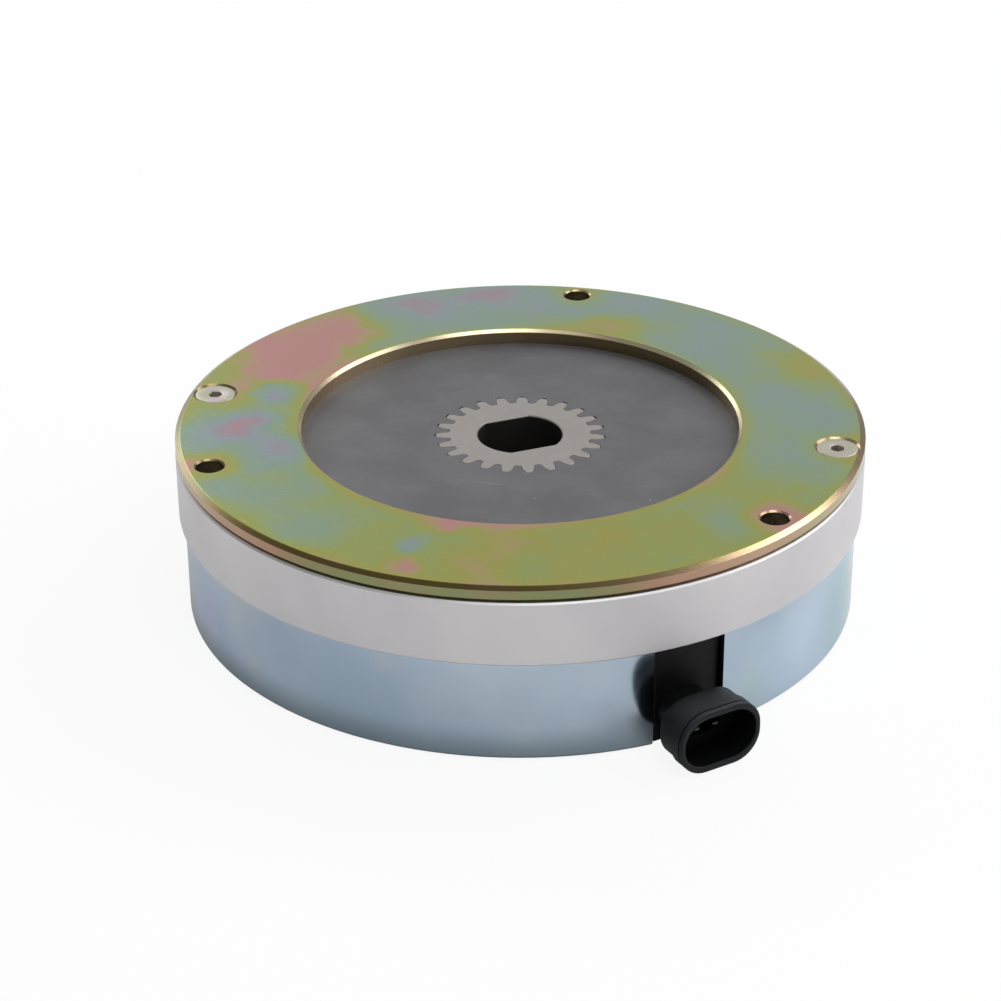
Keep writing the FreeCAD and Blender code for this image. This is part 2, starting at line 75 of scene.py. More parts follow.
# %% [markdown]
# ## The camera
# The picture was taken from the front, a little to the right, at about 28 degrees above the bench. A camera
# can be aimed by eye, but the rims are ellipses, and the three bolt holes and two screws are known points, so
# the place, the aim and the lens were worked out together from them. The small roll is the photographer's
# own.

# %% Aim the camera
azimuth = math.radians(11.92)
elevation = math.radians(27.68)
roll = math.radians(-0.338)
eye = Vector((0.1198, -0.5907, 0.3384))

ahead = Vector((-math.sin(azimuth) * math.cos(elevation),
                math.cos(azimuth) * math.cos(elevation),
                -math.sin(elevation)))
level = Vector((math.cos(azimuth), math.sin(azimuth), 0.0))
upward = level.cross(ahead)
right = math.cos(roll) * level + math.sin(roll) * upward
upright = math.cos(roll) * upward - math.sin(roll) * level

camera_data = bpy.data.cameras.new("photo_camera")
camera_data.sensor_width = 36.0
camera_data.lens = 100.41
camera = bpy.data.objects.new("photo_camera", camera_data)
camera.matrix_world = Matrix.Translation(eye) @ Matrix((right, upright, -ahead)).transposed().to_4x4()
bpy.context.scene.collection.objects.link(camera)
bpy.context.scene.camera = camera
print("camera", round(eye.length, 3), "m from the back face, lens", camera_data.lens, "mm")

# %% [markdown]
# ## Writing finishes as sums
# A finish is a small calculation done at every point of a surface: how thick the colour film is there, how
# rough the metal is, how deep a scratch goes. Wiring that by hand hides the idea, so a socket is wrapped in a
# class that knows plus, minus, times and divide. Every other node comes from one method.

# %% Numbers that vary over a surface
class Level:
    """One socket of a finish. Arithmetic on it adds Math nodes."""

    def __init__(self, finish, socket):
        self.finish = finish
        self.socket = socket

    def maths(self, operation, first, second=0.0):
        return self.finish.node("ShaderNodeMath", {"operation": operation}, {0: first, 1: second})

    def __add__(self, other):
        return self.maths("ADD", self, other)

    def __radd__(self, other):
        return self.maths("ADD", other, self)

    def __sub__(self, other):
        return self.maths("SUBTRACT", self, other)

    def __rsub__(self, other):
        return self.maths("SUBTRACT", other, self)

    def __mul__(self, other):
        return self.maths("MULTIPLY", self, other)

    def __rmul__(self, other):
        return self.maths("MULTIPLY", other, self)

    def __truediv__(self, other):
        return self.maths("DIVIDE", self, other)

    def __pow__(self, other):
        return self.maths("POWER", self, other)


# %% [markdown]
# A finish starts from one shader. Its fixed values are set on the shader itself, and what varies is linked to
# it. Places are measured in millimetres on the piece, so that a scratch 2 mm long is written as 2.

# %% A finish under construction
class Finish:
    """A material, built from a shader, fixed values and levels."""

    def __init__(self, name):
        self.material = bpy.data.materials.new(name)
        self.material.use_nodes = True
        self.tree = self.material.node_tree
        self.tree.nodes.clear()
        self.shader = self.tree.nodes.new("ShaderNodeBsdfPrincipled")
        output = self.tree.nodes.new("ShaderNodeOutputMaterial")
        self.tree.links.new(self.shader.outputs["BSDF"], output.inputs["Surface"])

    def fill(self, socket, value):
        if isinstance(value, Level):
            self.tree.links.new(value.socket, socket)
        else:
            socket.default_value = value

    def node(self, kind, settings=None, inputs=None, output=0):
        node = self.tree.nodes.new(kind)
        for name, value in (settings or {}).items():
            if name == "stops":
                self.set_stops(node.color_ramp, value)
            else:
                setattr(node, name, value)
        for key, value in (inputs or {}).items():
            self.fill(node.inputs[key], value)
        return Level(self, node.outputs[output])

    def set_stops(self, ramp, stops):
        ramp.elements.remove(ramp.elements[1])
        for number, (position, colour) in enumerate(stops):
            element = ramp.elements[0] if number == 0 else ramp.elements.new(position)
            element.position = position
            element.color = colour

    def surface(self, values):
        for name, value in values.items():
            self.fill(self.shader.inputs[name], value)

    def place(self):
        """The point's place on the piece, in millimetres."""
        object_place = self.node("ShaderNodeTexCoord", output="Object")
        return self.node("ShaderNodeVectorMath", {"operation": "SCALE"}, {0: object_place, "Scale": 1000.0})

    def axes(self, place):
        return [self.node("ShaderNodeSeparateXYZ", None, {0: place}, axis) for axis in ("X", "Y", "Z")]

    def join(self, x, y, z):
        return self.node("ShaderNodeCombineXYZ", None, {0: x, 1: y, 2: z})

    def noise(self, place, scale, detail=2.0, roughness=0.5, output="Fac"):
        inputs = {"Vector": place, "Scale": scale, "Detail": detail, "Roughness": roughness}
        return self.node("ShaderNodeTexNoise", None, inputs, output)

    def fade(self, value, none, full):
        """0 where the value is at none, rising smoothly to 1 where it is at full."""
        inputs = {"Value": value, "From Min": none, "From Max": full}
        return self.node("ShaderNodeMapRange", {"interpolation_type": "SMOOTHSTEP"}, inputs)

    def push(self, place, direction, reach):
        """The place, pushed sideways by a noise's colour and at most by the reach."""
        inputs = {0: direction, 1: (reach, reach, 0.0), 2: place}
        return self.node("ShaderNodeVectorMath", {"operation": "MULTIPLY_ADD"}, inputs)

    def distance(self, place, point):
        return self.node("ShaderNodeVectorMath", {"operation": "DISTANCE"}, {0: place, 1: point}, "Value")

    def ramp(self, value, stops):
        return self.node("ShaderNodeValToRGB", {"stops": stops}, {0: value})

    def mix(self, share, first, second):
        return self.node("ShaderNodeMix", {"data_type": "RGBA"}, {0: share, 6: first, 7: second}, 2)

    def bump(self, height, depth, strength=1.0):
        """A normal from a height of 0 to 1, where depth is how many millimetres 1 stands for."""
        inputs = {"Height": height, "Distance": depth / 1000, "Strength": strength}
        return self.node("ShaderNodeBump", None, inputs)


def tint(red, green, blue):
    """A colour as seen on a screen, from 0 to 255, turned into the light values that shaders use."""
    parts = [value / 255 for value in (red, green, blue)]
    light = [part / 12.92 if part <= 0.04045 else ((part + 0.055) / 1.055) ** 2.4 for part in parts]
    return (*light, 1.0)


def dress(finish, *names):
    """Gives a finish to solids, which keep their shape."""
    for name in names:
        for slot in nodes[name].material_slots:
            slot.material = finish.material
    print(finish.material.name, "on", ", ".join(names))


# %% [markdown]
# ## The plated ring on top
# The ring is zinc plated and dipped in a yellow chromate bath. The film that stays is about as thick as a
# wave of light, so its colour is an interference colour: it runs through olive, green, teal, grey-violet,
# pink and tan as the film gets thicker or thinner. It drains unevenly, so it forms soft patches a few
# centimetres wide, and it is different beside holes and edges. A picture of the colours could be painted on.
# Here the film's thickness is worked out instead, and one ramp turns thickness into colour, which keeps the
# order of the colours right everywhere.

# %% Where the film departs
plate_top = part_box("friction_plate")[1].z * 1000
bolt_holes = [(0.0, 76.2), (-65.99, -38.1), (65.99, -38.1)]
screw_holes = [(76.2, 0.0), (-76.2, 0.0)]

# Soft patches that the bath left: place, reach in mm, and how far the film departs from its usual thickness
film_patches = [
    (-63.0, 17.0, 27.0, 0.50), (-62.0, 32.0, 26.0, 0.40), (-54.0, 46.0, 20.0, 0.36),
    (-40.0, 62.0, 20.0, -0.26), (-22.0, 73.0, 14.0, -0.34), (-4.0, 70.0, 20.0, -0.16),
    (18.0, 74.0, 16.0, -0.12), (-62.0, 3.0, 9.0, -0.50), (-63.0, -15.0, 13.0, -0.48),
    (-54.0, -27.0, 12.0, -0.34), (-73.0, -22.0, 15.0, -0.22), (-62.0, -48.0, 18.0, -0.14),
    (-76.0, 20.0, 12.0, -0.14), (12.0, 57.0, 15.0, 0.24), (38.0, 56.0, 16.0, -0.10),
    (60.0, 42.0, 18.0, 0.16), (2.0, 57.0, 14.0, 0.14), (68.0, 12.0, 18.0, -0.08),
    (80.0, 26.0, 11.0, 0.14), (66.0, -8.0, 18.0, -0.10), (-5.0, -55.0, 9.0, 0.34),
    (10.0, -57.0, 13.0, 0.12), (-12.0, -67.0, 6.0, -0.30), (-34.0, -63.0, 14.0, -0.16),
    (-10.0, -77.0, 6.0, 0.26), (36.0, -50.0, 22.0, 0.08), (6.0, -74.0, 18.0, 0.10),
    (50.0, -20.0, 12.0, 0.12), (56.0, -42.0, 11.0, -0.08), (63.0, 42.0, 17.0, 0.18),
    (-48.0, -46.0, 18.0, -0.15), (62.0, -27.0, 13.0, 0.12)]
print(len(film_patches), "patches in the film")

# %% [markdown]
# A patch measured from its centre would be a neat circle. So each point is pushed aside first, by one slow
# noise and one quicker one, and the distance is taken from there: the circles turn into blots. A noise runs
# round 0.5, so on average it pushes by half of its reach, and the centres are shifted by as much.

# %% How thick the film is
drift_reach, ripple_reach = 12.0, 15.0
mean_push = (drift_reach + ripple_reach) / 2

chromate = Finish("yellow_chromate")
place = chromate.place()
x, y, z = chromate.axes(place)
radius = (x * x + y * y) ** 0.5
drift = chromate.noise(place, 0.030, 2.0, 0.5, "Color")
ripple = chromate.noise(place, 0.09, 3.0, 0.55, "Color")
drifted = chromate.push(place, drift, drift_reach)
wandering = chromate.push(drifted, ripple, ripple_reach)

clouds = chromate.noise(place, 0.020, 3.0, 0.5)
wisps = chromate.noise(place, 0.075, 3.0, 0.55)
film = 0.50 - 0.0015 * y + 0.26 * (clouds - 0.5) + 0.28 * (wisps - 0.5)
for patch_x, patch_y, reach, departure in film_patches:
    centre = (patch_x + mean_push, patch_y + mean_push, plate_top)
    film = film + departure * chromate.fade(chromate.distance(wandering, centre), reach, 0.0)
for hole_x, hole_y in bolt_holes:
    film = film + 0.24 * chromate.fade(chromate.distance(place, (hole_x, hole_y, plate_top)), 10.0, 3.8)
for hole_x, hole_y in screw_holes:
    film = film + 0.12 * chromate.fade(chromate.distance(place, (hole_x, hole_y, plate_top)), 12.0, 5.5)
film = film + 0.10 * chromate.fade(radius, 77.0, 82.0) + 0.16 * chromate.fade(radius, 57.5, 52.5)

film_colours = [
    (0.00, tint(162, 126, 136)), (0.12, tint(147, 133, 142)), (0.25, tint(133, 145, 148)),
    (0.38, tint(127, 149, 135)), (0.50, tint(133, 151, 115)), (0.61, tint(141, 151, 85)),
    (0.71, tint(150, 148, 73)), (0.78, tint(161, 142, 101)), (0.86, tint(172, 131, 115)),
    (1.00, tint(174, 126, 121))]

# %% [markdown]
# The edges hold a film of their own, with painted light over it. The chamfer round the rim is painted olive
# and brown at the front, as painted shade, and pale at the sides, paler on the right, as painted highlight.
# The wall under it shows the edge film at the front and is painted pale towards the sides, as painted
# highlight. The bore's chamfer and wall are painted pale, as painted highlight, and the wall is painted
# lighter towards the left. Heights below the top face tell the faces apart: the chamfers end 0.7 mm down.

# %% Edges of the ring
edge_clouds = chromate.noise(place, 0.045, 3.0, 0.6)
edge_film = 0.44 + 0.9 * (edge_clouds - 0.5)
for pink_x, pink_y in ((58.0, -59.0), (-56.0, -61.0)):
    from_pink = chromate.distance(place, (pink_x, pink_y, plate_top))
    edge_film = edge_film + 0.4 * chromate.fade(from_pink, 34.0, 6.0)
edge_colours = [
    (0.10, tint(122, 134, 128)), (0.32, tint(128, 139, 102)), (0.50, tint(144, 136, 104)),
    (0.66, tint(168, 134, 118)), (0.90, tint(192, 146, 134))]

# Painted light on the edges: pale painted highlight at the sides and in the bore, painted shade at the front
# of the chamfer.
painted_light_left_share = chromate.fade(x, 10.0, -50.0)
wall_painted_highlight_share = chromate.fade(y, -74.0, -32.0)
wall = chromate.mix(0.65 * wall_painted_highlight_share, chromate.ramp(edge_film, edge_colours), tint(202, 188, 158))

rim_painted_highlight_share = chromate.fade(y + 0.4 * x.maths("MAXIMUM", x, 0.0), -74.0, -32.0)
rim_front_painted_shade = chromate.mix(edge_clouds, tint(100, 94, 54), tint(116, 80, 50))
rim_sides_painted_highlight = chromate.mix(painted_light_left_share, tint(182, 153, 128), tint(124, 113, 90))
rim_chamfer_painted_light = chromate.mix(rim_painted_highlight_share, rim_front_painted_shade, rim_sides_painted_highlight)

bore_chamfer_painted_highlight = tint(212, 197, 168)
bore_wall_painted_light = chromate.mix(painted_light_left_share, tint(154, 134, 104), tint(222, 196, 160))

below_chamfer = chromate.fade(z, plate_top - 0.66, plate_top - 0.74)
outside = chromate.mix(below_chamfer, rim_chamfer_painted_light, wall)
inside = chromate.mix(below_chamfer, bore_chamfer_painted_highlight, bore_wall_painted_light)
edges = chromate.mix(chromate.fade(radius, 56.0, 54.0), outside, inside)

# %% Yellow chromate
below_top = chromate.fade(z, plate_top - 0.03, plate_top - 0.12)
grain = chromate.noise(chromate.join(x * 0.15, y, z), 1.4, 3.0, 0.6)
rub = chromate.noise(place, 0.25, 4.0, 0.6)
chromate.surface({
    "Base Color": chromate.mix(0.85 * below_top, chromate.ramp(film, film_colours), edges),
    "Metallic": 1.0,
    "Roughness": 0.20 + 0.08 * rub + 0.04 * grain,
    "Normal": chromate.bump(grain, 0.012, 0.4)})
dress(chromate, "friction_plate")

# %% [markdown]
# ## The pot
# The magnet body is turned steel with a clear, bluish zinc plate. It is smooth enough to mirror the bench,
# the connector and the lamps, so what makes it look real is its low roughness, its cool colour with faint
# violet and straw-coloured clouds, and the fine lines that the lathe left under the plating. The clouds are
# partly the plate's own tint and partly painted light: painted reflection, lighter at the right front and the
# left and darker cyan at the far right. They are listed as place, reach in mm, strength and colour. The wall
# is also painted darker towards the bottom at the front and left, and along its foot, as painted shade.

# %% Blue zinc
# Clouds of the plate's own tint and of painted reflection: lighter at the right front and left, darker cyan
# at the far right.
film_and_painted_light_clouds = [
    ((74.2, -33.0, 15.0), 22.0, 0.70, tint(196, 212, 230)),
    ((80.9, -7.1, 13.0), 30.0, 0.80, tint(134, 172, 184)),
    ((-68.9, -43.0, 12.0), 26.0, 0.55, tint(184, 196, 232)),
    ((-78.4, -21.0, 9.0), 18.0, 0.60, tint(164, 188, 172)),
    ((62.0, -52.0, 2.0), 12.0, 0.45, tint(170, 190, 176)),
    ((81.0, 2.0, 12.0), 16.0, 0.5, tint(112, 144, 152))]

zinc = Finish("bright_zinc")
place = zinc.place()
x, y, z = zinc.axes(place)
radius = (x * x + y * y) ** 0.5
lathe = zinc.noise(zinc.join(radius * 5.0, z * 5.0, (x + y) * 0.03), 1.0, 3.0, 0.6)
clouds = zinc.noise(place, 0.03, 3.0, 0.5)
blush = zinc.noise(place, 0.055, 2.0, 0.5)
cool = zinc.mix(zinc.fade(clouds, 0.35, 0.7), tint(166, 184, 202), tint(184, 198, 210))
coloured = zinc.mix(0.5 * zinc.fade(blush, 0.56, 0.78), cool, tint(190, 192, 182))
for centre, reach, strength, colour in film_and_painted_light_clouds:
    coloured = zinc.mix(strength * zinc.fade(zinc.distance(place, centre), reach, 0.0), coloured, colour)
# Painted shade: the wall is painted darker towards the bottom at the front and left.
painted_low_shade = zinc.fade(z, 9.0, 0.0) * zinc.fade(x * 0.4 + y, -20.0, -70.0)
with_painted_low_shade = zinc.mix(0.65 * painted_low_shade, coloured, tint(104, 116, 118))
# Painted shade: a dark band painted along the foot of the wall.
painted_contact_shade = zinc.fade(z, 0.9, 0.3)
zinc.surface({
    "Base Color": zinc.mix(0.6 * painted_contact_shade, with_painted_low_shade, tint(70, 78, 84)),
    "Metallic": 1.0,
    "Roughness": 0.09 + 0.05 * lathe + 0.04 * zinc.noise(place, 0.3, 3.0),
    "Normal": zinc.bump(lathe, 0.004, 0.3)})
dress(zinc, "magnet_body")

# %% [markdown]
# ## The machined ring
# The ring between pot and plate is left bare. It was turned with a fine feed and then tumbled, so it is pale,
# even and almost matt, with lines too fine to count.

# %% Turned ring
turned = Finish("turned_metal")
place = turned.place()
x, y, z = turned.axes(place)
radius = (x * x + y * y) ** 0.5
feed = turned.noise(turned.join(radius * 9.0, z * 9.0, (x + y) * 0.05), 1.0, 2.0, 0.6)
stain = turned.noise(place, 0.03, 3.0, 0.5)
turned.surface({
    "Base Color": turned.mix(turned.fade(stain, 0.3, 0.75), tint(208, 206, 208), tint(218, 216, 217)),
    "Metallic": 1.0,
    "Roughness": 0.46 + 0.08 * feed,
    "Normal": turned.bump(feed, 0.008, 0.4)})
dress(turned, "spacer_ring")

# %% [markdown]
# ## The friction disc
# The lining is moulded from resin, fibres and metal powder, then ground flat. It is dark grey with a faint
# sheen where the plate has polished it, tiny pale specks, and fine scratches from handling.

# %% Friction lining
lining = Finish("ground_lining")
place = lining.place()
mottle = lining.noise(place, 0.05, 4.0, 0.6)
fine = lining.noise(place, 2.2, 3.0, 0.7)
fleck_noise = lining.noise(place, 1.1, 2.0, 0.5)
flecks = lining.fade(fleck_noise, 0.73, 0.80)
stretch = {"Vector": place, "Rotation": (0.0, 0.0, 0.5), "Scale": (0.05, 1.6, 1.0)}
scratch_lines = lining.noise(lining.node("ShaderNodeMapping", None, stretch), 1.0, 2.0, 0.5)
scratches = lining.fade(scratch_lines, 0.68, 0.74) * lining.fade(mottle, 0.45, 0.6)
dark = lining.mix(lining.fade(mottle, 0.3, 0.7), tint(70, 69, 72), tint(85, 85, 88))
grey = lining.mix(0.30 * fine, dark, tint(105, 104, 106))
lining.surface({
    "Base Color": lining.mix(0.5 * flecks + 0.25 * scratches, grey, tint(170, 168, 162)),
    "Roughness": 0.42 + 0.18 * fine - 0.06 * mottle,
    "Normal": lining.bump(fine, 0.03, 0.4)})
dress(lining, "friction_disc")

# %% [markdown]
# ## The hub
# The hub is pressed from iron powder and sintered. Its face is a warm grey, matt, and pitted with pores about
# a tenth of a millimetre wide. Below its chamfer the bore is made almost black.

# %% Sintered iron
sinter = Finish("sintered_iron")
place = sinter.place()
x, y, z = sinter.axes(place)
radius = (x * x + y * y) ** 0.5
hub_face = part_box("drive_hub")[1].z * 1000
in_bore = sinter.fade(radius, 10.6, 10.3) * sinter.fade(z, hub_face - 0.05, hub_face - 0.4)
pores = sinter.fade(sinter.noise(place, 3.2, 2.0, 0.6), 0.62, 0.72)
tone = sinter.noise(place, 0.15, 3.0, 0.5)
face = sinter.mix(tone, tint(146, 140, 136), tint(156, 151, 146))
worn = sinter.mix(0.45 * pores, face, tint(88, 84, 80))
sinter.surface({
    "Base Color": sinter.mix(0.93 * in_bore, worn, tint(20, 17, 15)),
    "Metallic": 0.55,
    "Roughness": 0.50 + 0.15 * pores,
    "Normal": sinter.bump(1 - pores, 0.03, 0.6)})
dress(sinter, "drive_hub")

# %% [markdown]
# ## Shaping by hand, in code
# A piece is shaped as it would be by hand: a primitive at its size and place, then edit mode, a choice of
# faces or edges, and an operator. The choice is the part that a hand makes with the mouse, so each helper
# here chooses by place or direction. The connector is drawn as if it pointed along X, and turned to its
# bearing at the end.

# %% Helpers for shaping
near = 0.00001    # places closer than this, in metres, count as one


def millimetres(*values):
    """A place given in mm, in the metres that Blender works in."""
    return Vector(values) / 1000


def start_edit(piece, kind):
    """Opens a piece in edit mode with nothing selected, to choose VERT, EDGE or FACE."""
    bpy.ops.object.select_all(action="DESELECT")
    piece.select_set(True)
    bpy.context.view_layer.objects.active = piece
    bpy.ops.object.mode_set(mode="EDIT")
    bpy.ops.mesh.select_mode(type=kind)
    bpy.ops.mesh.select_all(action="DESELECT")


def choose_edges(piece, wanted):
    """Selects the edges whose two ends pass a test."""
    start_edit(piece, "EDGE")
    mesh = bmesh.from_edit_mesh(piece.data)
    for edge in mesh.edges:
        edge.select_set(wanted(edge.verts[0].co, edge.verts[1].co))
    bmesh.update_edit_mesh(piece.data)


def round_off(piece, radius, segments, wanted):
    """Rounds the edges that pass a test, to a radius in mm."""
    choose_edges(piece, wanted)
    bpy.ops.mesh.bevel(offset=radius / 1000, segments=segments, profile=0.5, affect="EDGES",
                       clamp_overlap=False)
    bpy.ops.object.mode_set(mode="OBJECT")


def bar(name, start, end, low, high):
    """A box along X between two places, and between two corners across it."""
    bpy.ops.object.select_all(action="DESELECT")
    middle = millimetres((start + end) / 2, (low[0] + high[0]) / 2, (low[1] + high[1]) / 2)
    bpy.ops.mesh.primitive_cube_add(size=0.001, location=middle)
    piece = bpy.context.object
    piece.name = name
    piece.data.name = name
    piece.scale = (end - start, high[0] - low[0], high[1] - low[1])
    bpy.ops.object.transform_apply(location=True, rotation=True, scale=True)
    return piece


def along_x(first, second):
    return abs(first.x - second.x) > 0.0005


def in_front_of(place, first, second):
    """Whether both ends of an edge lie at a place along X, in mm, or beyond it."""
    return min(first.x, second.x) > place / 1000 - near


def level_edge(first, second):
    return abs(first.z - second.z) < near


def oval_bar(name, start, end, width, height, corner):
    """A bar round the connector's own axis, with its four long edges rounded."""
    low = (socket_side - width / 2, socket_height - height / 2)
    high = (socket_side + width / 2, socket_height + height / 2)
    piece = bar(name, start, end, low, high)
    round_off(piece, corner, 10, along_x)
    return piece


def pull_front(piece, stations):
    """Extrudes the front face through places, and gives it a new width and height at each."""
    start_edit(piece, "FACE")
    mesh = bmesh.from_edit_mesh(piece.data)
    front = max(mesh.faces, key=lambda face: face.calc_center_median().x)
    front.select_set(True)
    bmesh.update_edit_mesh(piece.data)
    for before, after in zip(stations, stations[1:]):
        step = (after[0] - before[0]) / 1000
        bpy.ops.mesh.extrude_region_move(TRANSFORM_OT_translate={"value": (step, 0.0, 0.0)})
        growth = (1.0, after[1] / before[1], after[2] / before[2])
        middle = millimetres(after[0], socket_side, socket_height)
        bpy.ops.transform.resize(value=growth, center_override=middle)
    bpy.ops.object.mode_set(mode="OBJECT")


def combine(piece, other, operation):
    """Joins another piece to this one, or takes it away, and deletes the other."""
    bpy.ops.object.select_all(action="DESELECT")
    piece.select_set(True)
    bpy.context.view_layer.objects.active = piece
    boolean = piece.modifiers.new(operation.lower(), "BOOLEAN")
    boolean.operation = operation
    boolean.object = other
    boolean.solver = "EXACT"
    bpy.ops.object.modifier_apply(modifier=boolean.name)
    bpy.data.objects.remove(other)


# %% [markdown]
# ## The connector
# The connector is one black moulding: a block that fills the slot in the pot, a neck, and an oval shroud
# whose lip holds the plug's seal. Black plastic shows itself only by the light on its edges, and the solid's
# edges are sharp. So the moulding is made again to the same sizes, with rounded edges and the fine groove
# just behind the lip. It could be pulled out of one box, but bars that are joined afterwards can each be
# measured, and the shroud's outline stays a true oval.

# %% Sizes of the moulding
bearing = math.radians(-47.5)
socket_side, socket_height = -6.3, 8.0
block_back, block_face, narrow_socket_floor = 60.0, 79.6, 81.5
block_low, block_high = (-13.65, 0.5), (4.05, 24.65)
shroud_back, shroud_floor, lip_start, mouth = 86.5, 87.7, 91.4, 95.8
shroud_size, lip_size = (20.3, 14.5), (21.1, 15.3)
groove_size, socket_size = (20.65, 14.85), (18.7, 12.0)
neck_size, narrow_socket_size = (13.0, 8.5), (10.6, 6.1)
neck_corner, shroud_corner, narrow_socket_corner = 4.0, 6.6, 2.8
pocket_face, pocket_low, pocket_high = 65.7, (-9.8, 7.0), (-2.8, 15.45)
upright_rounding, level_rounding, back_rounding, lip_rounding = 1.0, 0.35, 0.5, 0.40
overlap = 1.0

# %% [markdown]
# The block comes first: its upright front edges are rounded, and then the level ones above and below. The
# shroud starts as a short oval bar. Its front face is pulled forward over the lip, in and out of the groove,
# and then back inside to the socket's floor, so that one face makes the whole profile.

# %% The moulding
moulding = bar("connector_moulding", block_back, block_face, block_low, block_high)
round_off(moulding, upright_rounding, 5,
          lambda a, b: in_front_of(block_face, a, b) and not level_edge(a, b))
round_off(moulding, level_rounding, 3,
          lambda a, b: in_front_of(block_face - upright_rounding, a, b) and level_edge(a, b))

neck = oval_bar("neck", block_face - overlap, shroud_floor - 0.4, *neck_size, neck_corner)
shroud = oval_bar("shroud", shroud_back, shroud_floor, *shroud_size, shroud_corner)
round_off(shroud, back_rounding, 3, lambda a, b: max(a.x, b.x) < shroud_back / 1000 + 0.0001)
pull_front(shroud, [
    (shroud_floor, *shroud_size), (lip_start, *shroud_size), (lip_start + 0.3, *lip_size),
    (mouth - 1.35, *lip_size), (mouth - 1.30, *groove_size), (mouth - 1.05, *groove_size),
    (mouth - 1.00, *lip_size), (mouth, *lip_size), (mouth, *socket_size), (shroud_floor, *socket_size)])
round_off(shroud, lip_rounding, 4, lambda a, b: in_front_of(mouth, a, b))

narrow_socket = oval_bar("narrow_socket", narrow_socket_floor, shroud_floor + 0.5,
                         *narrow_socket_size, narrow_socket_corner)
lead_pocket = bar("lead_pocket", block_back - overlap, pocket_face, pocket_low, pocket_high)
combine(moulding, neck, "UNION")
combine(moulding, shroud, "UNION")
combine(moulding, narrow_socket, "DIFFERENCE")
combine(moulding, lead_pocket, "DIFFERENCE")
moulding.data.transform(Matrix.Rotation(bearing, 4, "Z"))
bpy.ops.object.shade_smooth_by_angle(angle=math.radians(35.0))
moulding_size = [round(side * 1000, 1) for side in moulding.dimensions]
print("moulding", len(moulding.data.polygons), "faces, box", moulding_size, "mm")

# %% [markdown]
# ## Black nylon
# The housing is moulded from black nylon with glass fibre. Its walls have the fine spark-eroded grain of the
# mould. The top of the shroud is painted lighter towards the lip, as painted light from above, and the front
# of the lip is painted a little grey, as a painted highlight.

# %% Black nylon
nylon = Finish("black_nylon")
place = nylon.place()
mould_grain = nylon.noise(place, 3.0, 2.0, 0.6)
nylon_mottle = nylon.noise(place, 0.12, 3.0, 0.6)
x, y, z = nylon.axes(place)
normal = nylon.node("ShaderNodeNewGeometry", output="Normal")
facing_up = nylon.fade(nylon.axes(normal)[2], 0.1, 0.95)
black = nylon.mix(nylon_mottle, tint(3, 3, 4), tint(7, 8, 9))
along = math.cos(bearing) * x + math.sin(bearing) * y
# Painted light: the top of the shroud is painted lighter towards the lip.
painted_top_light = facing_up * nylon.fade(z, socket_height, 12.0) * nylon.fade(along, 83.0, 92.0)
with_painted_top_light = nylon.mix(painted_top_light * (0.6 + 0.4 * nylon_mottle), black, tint(48, 50, 54))
# Painted highlight: the front of the lip is painted a little grey.
painted_lip_highlight = nylon.fade(along, mouth - 0.40, mouth - 0.15)
nylon.surface({
    "Base Color": nylon.mix(0.07 * painted_lip_highlight, with_painted_top_light, tint(96, 104, 110)),
    "Roughness": 0.40 + 0.14 * mould_grain,
    "Specular IOR Level": 0.20,
    "Normal": nylon.bump(mould_grain, 0.03, 0.35)})
moulding.data.materials.clear()
moulding.data.materials.append(nylon.material)
dress(nylon, "connector_housing")
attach(moulding, "housing")
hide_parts("connector_housing")

# %% [markdown]
# ## The screws
# Two countersunk screws with a hexagon socket hold the stack together. The rim of a real head is not sharp:
# it is rounded by the tumbling before plating, so that its near side shows a thin bright line, and so is the
# mouth of the socket. The head could be a cylinder with a painted socket. It is turned up from a shank
# instead, as a lathe leaves it, the socket is cut, and one screw is then copied to the other side.

# %% Sizes of a screw
head_top, rim_height, shank_radius, head_radius = 43.92, 0.30, 2.5, 4.9
cone_height = head_radius - shank_radius
screw_end = head_top - 30.0
point_chamfer, shank_part = 0.7, 20.0
dish_radius, dish_floor_radius, dish_depth = 2.9, 2.6, 0.05
hexagon_across_flats, hexagon_depth, cutter_length = 3.0, 1.9, 4.0
rim_rounding, hexagon_rounding = 0.26, 0.12
screw_circle_radius = 76.2


def pull_end(piece, up, stations):
    """Extrudes the top or bottom face through heights, and gives it a new radius at each."""
    start_edit(piece, "FACE")
    mesh = bmesh.from_edit_mesh(piece.data)
    end_face = max(mesh.faces, key=lambda face: up * face.calc_center_median().z)
    end_face.select_set(True)
    height = end_face.calc_center_median().z * 1000
    radius = end_face.verts[0].co.xy.length * 1000
    bmesh.update_edit_mesh(piece.data)
    for next_height, next_radius in stations:
        step = (next_height - height) / 1000
        bpy.ops.mesh.extrude_region_move(TRANSFORM_OT_translate={"value": (0.0, 0.0, step)})
        growth = (next_radius / radius, next_radius / radius, 1.0)
        bpy.ops.transform.resize(value=growth, center_override=millimetres(0.0, 0.0, next_height))
        height, radius = next_height, next_radius
    bpy.ops.object.mode_set(mode="OBJECT")


def column(vertices, radius, length, bottom):
    """An upright cylinder or prism on the axis, in mm."""
    bpy.ops.object.select_all(action="DESELECT")
    bpy.ops.mesh.primitive_cylinder_add(vertices=vertices, radius=radius / 1000, depth=length / 1000,
                                        location=millimetres(0.0, 0.0, bottom + length / 2))
    bpy.ops.object.transform_apply(location=True, rotation=True, scale=True)
    return bpy.context.object


